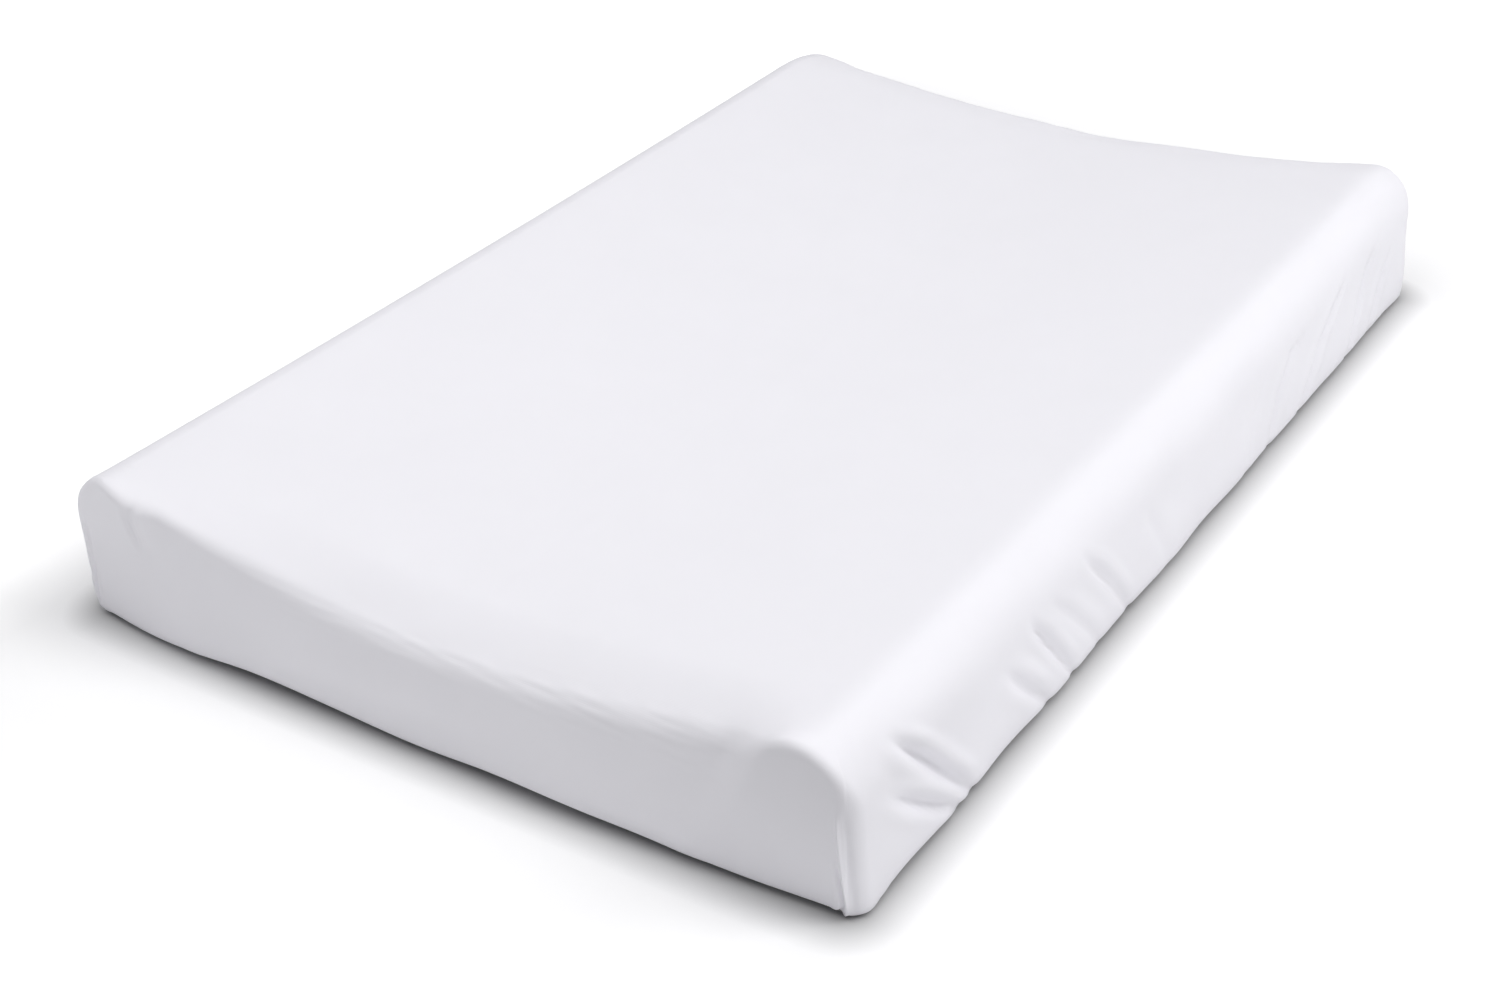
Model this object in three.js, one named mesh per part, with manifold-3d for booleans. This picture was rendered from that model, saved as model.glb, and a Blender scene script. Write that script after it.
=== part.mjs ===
// Contoured memory foam mattress under a fitted jersey sheet: layered foam core, zipped casing,
// elasticated sheet and the zip that closes the casing underneath.
// Millimetres, +Z up. X runs across the pad, Y along it, and the front end faces -Y.
// The origin is on the floor, under the middle of the pad.
import * as THREE from 'three';
import { mergeVertices } from 'three/addons/utils/BufferGeometryUtils.js';
import Module from 'manifold-3d';

const wasm = await Module();
wasm.setup();

// Overall size, measured over the sheet.
const padWidth = 500;
const padLength = 760;
const bolsterHeight = 97;      // crest of each long side
const hollowHeight = 74;       // lowest line of the top
const crestInset = 22;         // crest line, in from the side
const hollowPower = 1.81;      // how the top climbs from the hollow to the crest
const crestSag = 3.2;          // crest is this much lower at mid-length
const endBow = 7.2;            // ends stand out this much at the middle
const planRadius = 14;         // corners seen from above
const sideRadius = 25;         // edge between top and long side
const endRadius = 18;          // edge between top and end
const bottomRadius = 10;       // edge round the underside

// Layers, as depths below the sheet's outer face.
const clearance = 0.3;
const sheetThickness = 0.9;
const casingDepth = sheetThickness + clearance;
const casingThickness = 1.0;
const foamDepth = casingDepth + casingThickness + clearance;
const memoryThickness = 30;

// Heights of the layers underneath.
const sheetUnderside = 1.2;
const casingUnderside = 3.8;
const foamUnderside = casingUnderside + casingThickness + clearance;

// Elastic hem round the opening of the sheet, along the middle of its binding.
const hemInset = 70;
const hemCorner = 60;
const hemWidth = 14;
const hemHeight = 3.4;
const hemWall = 0.8;
const sheetTuck = 1;           // the sheet's edge lies this far inside the hem's line
const elasticWidth = 4;
const elasticThickness = 1.2;

// Casing seams.
const topSeamDrop = 30;
const baseSeamHeight = 12;
const endPanelWrap = 26;

// Zip, along the middle of the underside.
const chainHalfLength = 265;
const tapeHalfLength = 285;
const tapeHalfWidth = 16;
const tapeThickness = 0.6;
const slotHalfWidth = 7;
const slotHalfLength = 274;
const coilHalfWidth = 3;
const chainGap = 0.75;         // half of the gap between the two rows
const coilBottom = 3.2;
const coilTop = 4.8;
const sliderHalfWidth = 4.6;
const sliderLength = 12;
const sliderY = -258;          // closed position
const sliderWall = 0.8;
const sliderBottom = 2.1;
const tapeBottom = foamUnderside;
const sliderTop = tapeBottom + tapeThickness + clearance;
const pullAxisHeight = 1.35;
const pullBarRadius = 0.4;
const pullLength = 28;
const bridgeHalfWidth = 1.1;
const bridgeBottom = 0.15;
const bridgeWall = 0.5;

const far = 1000;              // beyond the pad in every direction
const sides = { left: -1, right: 1 };
const ends = { front: -1, rear: 1 };

// Sections of the pad: shares of the crest's distance from the middle, and angles of the rounded edges.
const hollowStations = [-1, -0.97, -0.84, -0.68, -0.5, -0.28, 0, 0.28, 0.5, 0.68, 0.84, 0.97, 1];
const edgeAngles = [22.5, 45, 67.5, 90];
const endAngles = [0, 15, 30, 45, 60, 75, 90];

// How far an edge of this radius has fallen away, `reach` in from where it starts.
function roundOff(radius, reach) {
  if (reach >= radius) return 0;
  return radius - Math.sqrt(radius ** 2 - (radius - reach) ** 2);
}

function topHeight(x, y) {
  const acrossHollow = Math.min(Math.abs(x) / (padWidth / 2 - crestInset), 1);
  const crest = bolsterHeight - crestSag * (1 - (2 * y / padLength) ** 2);
  return hollowHeight + (crest - hollowHeight) * acrossHollow ** hollowPower;
}

// One closed ring round the pad's section at y, `depth` inside the outer face. Its first half runs over
// the top and its second half comes back under it, point for point.
function padRing(depth, underside, y) {
  const reach = padLength / 2 - depth - Math.abs(y);
  const side = sideRadius - depth;
  const foot = bottomRadius - depth;
  const halfWidth = padWidth / 2 - depth - roundOff(planRadius - depth, reach);
  const bottom = underside + roundOff(foot, reach);
  const over = [];
  const under = [];
  for (const station of hollowStations) {
    const x = station * (halfWidth - side);
    over.push([x, topHeight(x, y) - depth - roundOff(endRadius - depth, reach)]);
    under.push([station * (halfWidth - foot), bottom]);
  }
  const crest = over.at(-1)[1];
  for (const degrees of edgeAngles) {
    const angle = THREE.MathUtils.degToRad(degrees);
    const topX = halfWidth - side * (1 - Math.sin(angle));
    const topZ = crest - side * (1 - Math.cos(angle));
    const footX = halfWidth - foot * (1 - Math.sin(angle));
    const footZ = bottom + foot * (1 - Math.cos(angle));
    over.push([topX, topZ]);
    over.unshift([-topX, topZ]);
    under.push([footX, footZ]);
    under.unshift([-footX, footZ]);
  }
  const bow = (x) => 1 - (2 * endBow / padLength) * (2 * x / padWidth) ** 2;
  return [...over, ...under.reverse()].map(([x, z]) => new THREE.Vector3(x, y * bow(x), z));
}

// Skin over rings that have the same number of points. Open ends are closed with strips, from each
// point of a ring's first half to its partner in the second.
function loft(rings, closed = false) {
  const count = rings[0].length;
  const index = [];
  const spans = closed ? rings.length : rings.length - 1;
  for (let span = 0; span < spans; span += 1) {
    const near = span * count;
    const next = ((span + 1) % rings.length) * count;
    for (let point = 0; point < count; point += 1) {
      const after = (point + 1) % count;
      index.push(near + point, near + after, next + after);
      index.push(near + point, next + after, next + point);
    }
  }
  const last = (rings.length - 1) * count;
  for (let point = 0; !closed && point < count / 2 - 1; point += 1) {
    const partner = count - 1 - point;
    index.push(point, partner, point + 1);
    index.push(point + 1, partner, partner - 1);
    index.push(last + point, last + point + 1, last + partner);
    index.push(last + point + 1, last + partner - 1, last + partner);
  }
  const geometry = new THREE.BufferGeometry().setFromPoints(rings.flat());
  geometry.setIndex(index);
  return geometry;
}

function toSolid(geometry) {
  geometry.deleteAttribute('normal');
  geometry.deleteAttribute('uv');
  const merged = mergeVertices(geometry, 1e-4);
  return new wasm.Manifold(new wasm.Mesh({
    numProp: 3,
    vertProperties: Float32Array.from(merged.attributes.position.array),
    triVerts: Uint32Array.from(merged.index.array),
  }));
}

function toGeometry(solid) {
  const mesh = solid.getMesh();
  const geometry = new THREE.BufferGeometry();
  geometry.setAttribute('position', new THREE.BufferAttribute(mesh.vertProperties, mesh.numProp));
  geometry.setIndex(new THREE.BufferAttribute(mesh.triVerts, 1));
  geometry.computeVertexNormals();
  return geometry;
}

// The whole pad as one solid, `depth` inside the outer face.
function padSolid(depth, underside) {
  const endRings = endAngles.map((degrees) => {
    const reach = (endRadius - depth) * (1 - Math.cos(THREE.MathUtils.degToRad(degrees)));
    return padLength / 2 - depth - reach;
  });
  const places = [...endRings.map((y) => -y), -padLength / 4, 0, padLength / 4, ...endRings.reverse()];
  return toSolid(loft(places.map((y) => padRing(depth, underside, y))));
}

function box([lowX, highX], [lowY, highY], [lowZ, highZ]) {
  const geometry = new THREE.BoxGeometry(highX - lowX, highY - lowY, highZ - lowZ);
  geometry.translate((lowX + highX) / 2, (lowY + highY) / 2, (lowZ + highZ) / 2);
  return toSolid(geometry);
}

function plate(shape, lowZ, highZ) {
  const geometry = new THREE.ExtrudeGeometry(shape, {
    depth: highZ - lowZ, bevelEnabled: false, curveSegments: 6,
  });
  geometry.translate(0, 0, lowZ);
  return toSolid(geometry);
}

// Everything above a surface that follows the pad's top, `drop` below it.
function aboveTopSurface(drop) {
  const crestX = padWidth / 2 - sideRadius;
  const line = hollowStations.map((station) => [station * crestX, topHeight(station * crestX, 0) - drop]);
  const outer = [[-far, line[0][1]], ...line, [far, line[0][1]], [far, far], [-far, far]];
  const shape = new THREE.Shape(outer.map(([x, z]) => new THREE.Vector2(x, z)));
  const geometry = new THREE.ExtrudeGeometry(shape, { depth: 2 * far, bevelEnabled: false });
  geometry.rotateX(Math.PI / 2);
  geometry.translate(0, far, 0);
  return toSolid(geometry);
}

// Flat outline of a rounded rectangle about the origin.
function roundedRectangle(halfX, halfY, radius) {
  const shape = new THREE.Shape();
  shape.absarc(halfX - radius, halfY - radius, radius, 0, Math.PI / 2);
  shape.absarc(radius - halfX, halfY - radius, radius, Math.PI / 2, Math.PI);
  shape.absarc(radius - halfX, radius - halfY, radius, Math.PI, 1.5 * Math.PI);
  shape.absarc(halfX - radius, radius - halfY, radius, 1.5 * Math.PI, 2 * Math.PI);
  return shape;
}

// A band all round the hem opening with the given section: [outward from the hem's line, height] points.
function hemRing(section) {
  const centreX = padWidth / 2 - hemInset - hemCorner;
  const centreY = padLength / 2 - hemInset - hemCorner;
  const quarters = [[1, 1], [-1, 1], [-1, -1], [1, -1]];
  const stepsPerCorner = 6;
  const rings = [];
  quarters.forEach(([sideX, sideY], quarter) => {
    for (let step = 0; step <= stepsPerCorner; step += 1) {
      const angle = (quarter + step / stepsPerCorner) * Math.PI / 2;
      const ring = section.map(([outward, height]) => new THREE.Vector3(
        sideX * centreX + (hemCorner + outward) * Math.cos(angle),
        sideY * centreY + (hemCorner + outward) * Math.sin(angle),
        height,
      ));
      rings.push(ring);
    }
  });
  return loft(rings, true);
}

const jersey = new THREE.MeshStandardMaterial({ color: 0xf3f2f6, roughness: 0.92, metalness: 0 });
const bindingCloth = new THREE.MeshStandardMaterial({ color: 0xf0eff3, roughness: 0.9, metalness: 0 });
const elasticCloth = new THREE.MeshStandardMaterial({ color: 0xe9e9ea, roughness: 0.7, metalness: 0 });
const labelSatin = new THREE.MeshStandardMaterial({ color: 0xfafafa, roughness: 0.45, metalness: 0 });
const casingCloth = new THREE.MeshStandardMaterial({ color: 0xe9e7e2, roughness: 0.85, metalness: 0 });
const zipTapeCloth = new THREE.MeshStandardMaterial({ color: 0xe4e3e0, roughness: 0.8, metalness: 0 });
const zipNylon = new THREE.MeshStandardMaterial({ color: 0xeeeeec, roughness: 0.4, metalness: 0 });
const zipMetal = new THREE.MeshStandardMaterial({ color: 0xb9bcc0, roughness: 0.3, metalness: 1 });
const firmFoam = new THREE.MeshStandardMaterial({ color: 0xe6e1d3, roughness: 0.95, metalness: 0 });
const memoryFoam = new THREE.MeshStandardMaterial({ color: 0xf1e6c4, roughness: 0.9, metalness: 0 });

function piece(name, geometry, material) {
  const mesh = new THREE.Mesh(geometry, material);
  mesh.name = name;
  return mesh;
}

// Fitted sheet: one layer over the pad, tucked under it as far as the hem.
function fittedSheet() {
  const inset = hemInset + sheetTuck;
  const outline = roundedRectangle(padWidth / 2 - inset, padLength / 2 - inset, hemCorner - sheetTuck);
  const opening = plate(outline, -far, casingUnderside);
  const sheet = padSolid(0, sheetUnderside)
    .subtract(padSolid(sheetThickness, sheetUnderside + sheetThickness))
    .subtract(opening);
  return piece('fitted_sheet', toGeometry(sheet), jersey);
}

// Raised seam down each corner of the sheet.
function cornerSeams() {
  const seamWidth = 2.2;
  const seamHeight = 1.1;
  const seamFoot = 4;
  const seamTop = 68;
  const ridge = padSolid(-clearance - seamHeight, sheetUnderside - clearance)
    .subtract(padSolid(-clearance, sheetUnderside - clearance));
  const blade = new THREE.BoxGeometry(4 * planRadius, seamWidth, seamTop - seamFoot);
  blade.translate(2 * planRadius, 0, (seamTop + seamFoot) / 2);
  const seams = new THREE.Group();
  for (const [endName, end] of Object.entries(ends)) {
    for (const [sideName, side] of Object.entries(sides)) {
      const cut = blade.clone();
      cut.rotateZ(Math.atan2(end, side));
      cut.translate(side * (padWidth / 2 - planRadius), end * (padLength / 2 - endBow - planRadius), 0);
      const seam = ridge.intersect(toSolid(cut));
      seams.add(piece(`corner_seam_${endName}_${sideName}`, toGeometry(seam), jersey));
    }
  }
  return seams;
}

// Hem: a folded binding, open outwards, that holds the sheet's edge and the elastic.
function hem() {
  const half = hemWidth / 2;
  const back = hemWall - half;
  const roof = hemHeight - hemWall;
  const binding = [
    [-half, 0], [-half, hemHeight], [half, hemHeight], [half, roof], [back, roof], [back, hemWall],
    [half, hemWall], [half, 0],
  ];
  const elasticLeft = back + clearance;
  const elasticRight = elasticLeft + elasticWidth;
  const elasticLow = (hemHeight - elasticThickness) / 2;
  const elasticHigh = elasticLow + elasticThickness;
  const elastic = [
    [elasticLeft, elasticLow], [elasticLeft, elasticHigh],
    [elasticRight, elasticHigh], [elasticRight, elasticLow],
  ];
  const group = new THREE.Group();
  group.add(piece('hem_binding', hemRing(binding), bindingCloth));
  group.add(piece('hem_elastic', hemRing(elastic), elasticCloth));
  return group;
}

// Blank label, sewn to the inner edge of the binding on the right.
function careLabel() {
  const labelLength = 45;
  const labelWidth = 30;
  const labelThickness = 0.4;
  const label = piece('care_label', new THREE.BoxGeometry(labelLength, labelWidth, labelThickness), labelSatin);
  const sewnEdge = padWidth / 2 - hemInset - hemWidth / 2 - clearance;
  label.position.set(sewnEdge - labelLength / 2, padLength / 4, hemHeight / 2);
  return label;
}

// Casing: top panel, boxing round the sides and ends, and a base in two halves either side of the zip.
function casing() {
  const shell = padSolid(casingDepth, casingUnderside)
    .subtract(padSolid(casingDepth + casingThickness, casingUnderside + casingThickness));
  const group = new THREE.Group();
  group.add(piece('casing_top_panel', toGeometry(shell.intersect(aboveTopSurface(topSeamDrop))), casingCloth));

  const boxing = shell.subtract(aboveTopSurface(topSeamDrop + clearance))
    .subtract(box([-far, far], [-far, far], [-far, baseSeamHeight]));
  const endSeam = padLength / 2 - endPanelWrap;
  for (const [name, side] of Object.entries(sides)) {
    const reachX = [side * padWidth / 4, side * far].sort((a, b) => a - b);
    const panel = boxing.intersect(box(reachX, [-endSeam + clearance, endSeam - clearance], [0, far]));
    group.add(piece(`casing_side_${name}`, toGeometry(panel), casingCloth));
  }
  for (const [name, end] of Object.entries(ends)) {
    const reachY = [end * endSeam, end * far].sort((a, b) => a - b);
    const panel = boxing.intersect(box([-far, far], reachY, [0, far]));
    group.add(piece(`casing_end_${name}`, toGeometry(panel), casingCloth));
  }

  const slot = box([-slotHalfWidth, slotHalfWidth], [-slotHalfLength, slotHalfLength], [0, foamUnderside]);
  const base = shell.intersect(box([-far, far], [-far, far], [0, baseSeamHeight - clearance])).subtract(slot);
  for (const [name, side] of Object.entries(sides)) {
    const reachX = [side * clearance / 2, side * far].sort((a, b) => a - b);
    const panel = base.intersect(box(reachX, [-far, far], [0, far]));
    group.add(piece(`casing_base_${name}`, toGeometry(panel), casingCloth));
  }
  return group;
}

// Tapes, the two rows of the coil, and the stops at their ends.
function zipChain() {
  const group = new THREE.Group();
  const coilHeight = coilTop - coilBottom;
  const coilWidth = coilHalfWidth - chainGap;
  const coilX = (coilHalfWidth + chainGap) / 2;
  const coilZ = (coilTop + coilBottom) / 2;
  const stopLength = 3;
  const stopY = chainHalfLength + clearance + stopLength / 2;
  const coilShape = new THREE.BoxGeometry(coilWidth, 2 * chainHalfLength, coilHeight);
  const stopShape = new THREE.BoxGeometry(coilWidth, stopLength, coilHeight);
  const rearStopShape = new THREE.BoxGeometry(2 * coilHalfWidth, stopLength, coilHeight);
  for (const [name, side] of Object.entries(sides)) {
    const tape = piece(
      `zip_tape_${name}`,
      new THREE.BoxGeometry(tapeHalfWidth - chainGap, 2 * tapeHalfLength, tapeThickness),
      zipTapeCloth,
    );
    tape.position.set(side * (tapeHalfWidth + chainGap) / 2, 0, tapeBottom + tapeThickness / 2);
    group.add(tape);

    const coil = piece(`zip_coil_${name}`, coilShape, zipNylon);
    coil.position.set(side * coilX, 0, coilZ);
    group.add(coil);

    const stop = piece(`zip_stop_front_${name}`, stopShape, zipMetal);
    stop.position.set(side * coilX, -stopY, coilZ);
    group.add(stop);
  }
  const rearStop = piece('zip_stop_rear', rearStopShape, zipMetal);
  rearStop.position.set(0, stopY, coilZ);
  group.add(rearStop);
  return group;
}

// Slider: two plates joined by a post between the rows, with lips beside them and a bridge for the pull.
function zipSlider() {
  const tail = sliderLength / 2;
  const tailHalfWidth = 3.9;
  const outline = new THREE.Shape();
  outline.moveTo(-sliderHalfWidth, -tail);
  outline.lineTo(sliderHalfWidth, -tail);
  outline.quadraticCurveTo(sliderHalfWidth, 0, tailHalfWidth, tail);
  outline.lineTo(-tailHalfWidth, tail);
  outline.quadraticCurveTo(-sliderHalfWidth, 0, -sliderHalfWidth, -tail);

  const floorTop = sliderBottom + sliderWall;
  const roofTop = sliderTop + sliderWall;
  const lipInner = coilHalfWidth + clearance;
  const lipTop = tapeBottom - clearance;
  const postHalfWidth = chainGap - clearance;
  const postEnd = -3.2;
  const legEnd = 1.9;
  const legStart = 1.4;
  const bridgeX = [-bridgeHalfWidth, bridgeHalfWidth];
  const lips = plate(outline, sliderBottom, lipTop)
    .subtract(box([-lipInner, lipInner], [-far, far], [floorTop, far]));
  const bridge = box(bridgeX, [-legEnd, legEnd], [bridgeBottom, sliderBottom])
    .subtract(box([-far, far], [-legStart, legStart], [bridgeBottom + bridgeWall, sliderBottom]));
  const slider = lips
    .add(plate(outline, sliderTop, roofTop))
    .add(box([-postHalfWidth, postHalfWidth], [-tail, postEnd], [sliderBottom, roofTop]))
    .add(bridge);
  const mesh = piece('zip_slider', toGeometry(slider), zipMetal);
  mesh.position.y = sliderY;
  return mesh;
}

// Pull: a flat tab whose bar turns under the slider's bridge.
function zipPull() {
  const halfWidth = 2.75;
  const armInner = 1.6;
  const windowEnd = 2.7;
  const tipRadius = 1.8;
  const cordHoleY = pullLength - 3.5;
  const cordHoleRadius = 1.2;
  const outline = new THREE.Shape();
  outline.moveTo(-halfWidth, -pullBarRadius);
  outline.lineTo(halfWidth, -pullBarRadius);
  outline.lineTo(halfWidth, pullLength - tipRadius);
  outline.absarc(halfWidth - tipRadius, pullLength - tipRadius, tipRadius, 0, Math.PI / 2);
  outline.absarc(tipRadius - halfWidth, pullLength - tipRadius, tipRadius, Math.PI / 2, Math.PI);
  const eye = new THREE.Path();
  eye.moveTo(-armInner, pullBarRadius);
  eye.lineTo(-armInner, windowEnd);
  eye.lineTo(armInner, windowEnd);
  eye.lineTo(armInner, pullBarRadius);
  const cordHole = new THREE.Path();
  cordHole.absarc(0, cordHoleY, cordHoleRadius, 0, 2 * Math.PI, true);
  outline.holes.push(eye, cordHole);
  const pull = piece('zip_pull', toGeometry(plate(outline, -pullBarRadius, pullBarRadius)), zipMetal);
  pull.position.set(0, sliderY, pullAxisHeight);
  return pull;
}

// Foam: a firm slab relieved for the zip, a wedge under each bolster and a memory foam top.
function foamCore() {
  const core = padSolid(foamDepth, foamUnderside);
  const jointDrop = foamDepth + memoryThickness;
  const slabTop = hollowHeight - jointDrop - clearance - 0.2;
  const wedgeInner = 62;
  const tapeMargin = 2;
  const sliderMargin = 1;
  const memory = core.intersect(aboveTopSurface(jointDrop));
  const lower = core.subtract(aboveTopSurface(jointDrop + clearance));

  const tapeRelief = box(
    [-tapeHalfWidth - tapeMargin, tapeHalfWidth + tapeMargin],
    [-tapeHalfLength - tapeMargin, tapeHalfLength + tapeMargin],
    [0, tapeBottom + tapeThickness + clearance],
  );
  const sliderRelief = box(
    [-sliderHalfWidth - sliderMargin, sliderHalfWidth + sliderMargin],
    [-chainHalfLength - sliderMargin, chainHalfLength + sliderMargin],
    [0, sliderTop + sliderWall + clearance],
  );
  const slab = lower.intersect(box([-far, far], [-far, far], [0, slabTop]))
    .subtract(tapeRelief)
    .subtract(sliderRelief);

  const group = new THREE.Group();
  group.add(piece('memory_foam_layer', toGeometry(memory), memoryFoam));
  group.add(piece('foam_base', toGeometry(slab), firmFoam));
  for (const [name, side] of Object.entries(sides)) {
    const reachX = [side * wedgeInner, side * far].sort((a, b) => a - b);
    const wedge = lower.intersect(box(reachX, [-far, far], [slabTop + clearance, far]));
    group.add(piece(`foam_wedge_${name}`, toGeometry(wedge), firmFoam));
  }
  return group;
}

const mattress = new THREE.Group();
mattress.add(fittedSheet());
mattress.add(cornerSeams());
mattress.add(hem());
mattress.add(careLabel());
mattress.add(casing());
mattress.add(zipChain());
mattress.add(zipSlider());
mattress.add(zipPull());
mattress.add(foamCore());

export default mattress;
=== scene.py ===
import math

import bpy
import numpy as np
from mathutils import Matrix, Vector


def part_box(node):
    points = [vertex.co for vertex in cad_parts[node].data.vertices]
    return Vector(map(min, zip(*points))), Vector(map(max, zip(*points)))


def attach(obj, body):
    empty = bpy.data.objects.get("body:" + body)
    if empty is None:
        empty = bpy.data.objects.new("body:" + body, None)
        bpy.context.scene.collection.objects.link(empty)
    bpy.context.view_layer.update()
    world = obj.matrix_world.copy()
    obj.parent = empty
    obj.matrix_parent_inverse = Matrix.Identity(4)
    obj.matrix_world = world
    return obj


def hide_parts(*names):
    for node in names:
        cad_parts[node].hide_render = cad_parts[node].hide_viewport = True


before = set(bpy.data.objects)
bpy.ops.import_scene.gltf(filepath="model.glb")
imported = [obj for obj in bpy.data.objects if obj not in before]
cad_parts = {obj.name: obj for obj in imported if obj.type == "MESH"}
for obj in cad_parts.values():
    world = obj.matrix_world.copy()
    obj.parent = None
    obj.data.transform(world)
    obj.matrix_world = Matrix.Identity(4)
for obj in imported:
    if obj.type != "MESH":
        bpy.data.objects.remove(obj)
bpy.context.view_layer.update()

# Everything below is worked out in millimetres and goes into Blender in metres.
MM = 0.001

# ---------------------------------------------------------------- size and section of the pad
sheet_low, sheet_high = (np.array(c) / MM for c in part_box("fitted_sheet"))
HALF_W = (sheet_high[0] - sheet_low[0]) / 2
HALF_L = (sheet_high[1] - sheet_low[1]) / 2
HOLLOW = sheet_high[2] - 23.0      # lowest line of the top
CREST = sheet_high[2] + 1.3        # where the top would meet the crest line if the crest weren't rounded
CREST_X = HALF_W - 22.0
HOLLOW_POWER = 1.81
CREST_SAG = 3.2
SIDE_ROUND = 32.0
END_BOW = 7.2
END_FOOT = HALF_L - 1.5            # end wall near the floor, at mid-width
FRONT_LEAN, REAR_LEAN = 13.0, 4.0  # middle of each end leans back this much
BOLSTER_HANG = 2.4                 # bolster ends hang over this much
LEFT_TURN, RIGHT_TURN = 0.08, 0.03  # bolster ends face a little outwards, less on the right
FRONT_FALL, REAR_FALL = 12.5, 3.5   # how far the top falls away just before each end
FALL_REACH = 37.0
EDGE_SOFT = 6.0                    # end edge at mid-width
EDGE_CRISP = 5.0                   # end edge over a bolster
CORNER_ROUND = 11.0
FOOT_SIDE = 7.5
FOOT_LEFT = 12.0
FOOT_END = 16.0
UNDERSIDE = 0.9
SKIM = 0.06                        # the foot counts as ended this far above the underside
INNER_SLACK = 4.2                  # inner layers stand this far in from the sheet low on the sides
CREASE_X, CREASE_Z, CREASE_SLOPE = 205.0, 90.0, 0.39  # line where a bolster's end meets the middle
EAR_X = 217.0
TOP_INSET_X = 32.0                 # where the even grid on the top ends
TOP_INSET_Y = 25.0
FOOT_TURN = 10.0                   # first guess at the foot's radius, before points go on to the face
PROBE = 0.05                       # step for slopes


def smooth(low, high, value):
    t = np.clip((value - low) / (high - low), 0.0, 1.0)
    return t * t * (3 - 2 * t)


def bell(value, width):
    return np.exp(-((value / width) ** 2))


def end_lean(x, front):
    """How far the end wall leans back by the time it reaches the top."""
    past_left_bolster = 0.30 + 0.70 * smooth(-205, -50, x)
    by_right_bolster = 1 - 0.4 * smooth(130, 205, x)
    return np.where(front, FRONT_LEAN * past_left_bolster * by_right_bolster, REAR_LEAN)


def top_height(x, y):
    """Height of the pad's top, before its edges are rounded."""
    across = np.minimum(np.abs(x) / CREST_X, 1.0)
    crest = CREST - CREST_SAG * (1 - (y / HALF_L) ** 2)
    height = HOLLOW + (crest - HOLLOW) * across**HOLLOW_POWER
    front = y < 0
    to_end = END_FOOT - END_BOW * (x / HALF_W) ** 2 - end_lean(x, front) - np.abs(y)
    between_bolsters = (0.22 + 0.78 * smooth(-190, -50, x)) * (1 - smooth(165, 213, np.abs(x)))
    fall = np.where(front, FRONT_FALL * between_bolsters, REAR_FALL + 1.8 * smooth(120, 215, np.abs(x)))
    height = height - fall * np.clip(1 - to_end / FALL_REACH, 0, 1.4) ** np.where(front, 1.4, 2.0)
    # The front corners are pinched up into ears, and the corners drag faint lines across the top.
    height = height + 3.2 * bell(np.abs(x) - EAR_X, 11.0) * bell(HALF_L - np.abs(y) - 4, 15.0) * front
    drag = (np.abs(y) - 352) * 0.985 + (np.abs(x) - EAR_X) * 0.17
    reach = smooth(80, 120, np.abs(x)) * (1 - smooth(175, 215, np.abs(x)))
    return height - 0.35 * bell(drag, 7) * reach * (x * y > 0)


def end_reach(x, z, front):
    """How far out the end wall stands at x and height z."""
    across = np.abs(x) - (CREASE_X - CREASE_SLOPE * (CREASE_Z - z))
    bolster = smooth(-22, 4, across)
    middle = END_FOOT - end_lean(x, front) * np.clip((z - 12) / 56, 0, 1.2)
    turn = np.where(x > 0, RIGHT_TURN, LEFT_TURN) * np.maximum(across, -10)
    end = END_FOOT - 1.4 + BOLSTER_HANG * np.clip((z - 14) / 70, 0, 1) - turn
    # The ends bow outwards, but the foot of the front left corner stands nearly level with the middle.
    bow = END_BOW * (x / HALF_W) ** 2 * (1 - 0.85 * (1 - smooth(6, 62, z)) * (x < 0) * front)
    return middle + (end - middle) * bolster - bow


def rounded(a, b, radius):
    """Distance outside both of two walls that meet in a rounded edge."""
    u, v = np.maximum(a + radius, 0), np.maximum(b + radius, 0)
    return np.minimum(np.maximum(a, b) + radius, 0) + np.hypot(u, v) - radius


def pad_field(p, depth, underside):
    """Signed distance to the pad's outer face, `depth` inside the sheet's."""
    x, y, z = p[:, 0], p[:, 1], p[:, 2]
    slope = HOLLOW_POWER * (CREST - HOLLOW) / CREST_X
    slope = slope * np.minimum(np.abs(x) / CREST_X, 1) ** (HOLLOW_POWER - 1) * (np.abs(x) < CREST_X)
    over = (z - top_height(x, y)) / np.hypot(1, slope)
    # Inner layers stand clear of the sheet low on the sides, where it folds.
    slack = INNER_SLACK * (1 - smooth(66, 88, z)) if depth > 0 else 0.0
    # The left wall is fuller half way up and drawn in above, and the right wall is fuller at its foot.
    left = x < 0
    fuller = 5.5 * smooth(4, 34, z) * (1 - smooth(52, 86, z))
    lean = np.where(left, 4.4 * smooth(60, 88, z) - fuller, -2.6 * (1 - smooth(6, 46, z)))
    side = np.abs(x) - HALF_W + lean + slack
    end = np.abs(y) - end_reach(x, z, y < 0) + slack * 0.35
    profile = rounded(side, over, SIDE_ROUND)
    edge = EDGE_SOFT + (EDGE_CRISP - EDGE_SOFT) * smooth(192, 206, np.abs(x))
    edge = edge + (CORNER_ROUND - edge) * smooth(-16, -2, side) * (1 - smooth(58, 88, z))
    body = rounded(profile, end, edge)
    towards_end = smooth(-14, 2, end - profile)
    foot_side = np.where(left, FOOT_LEFT, FOOT_SIDE)
    foot = foot_side + (FOOT_END - foot_side) * towards_end
    # It is tighter near the corners.
    foot = foot * (1 - 0.6 * smooth(-130, -10, side) * smooth(-42, -8, end))
    return rounded(body + depth, underside - z, np.maximum(foot - depth, 1.5))


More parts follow.
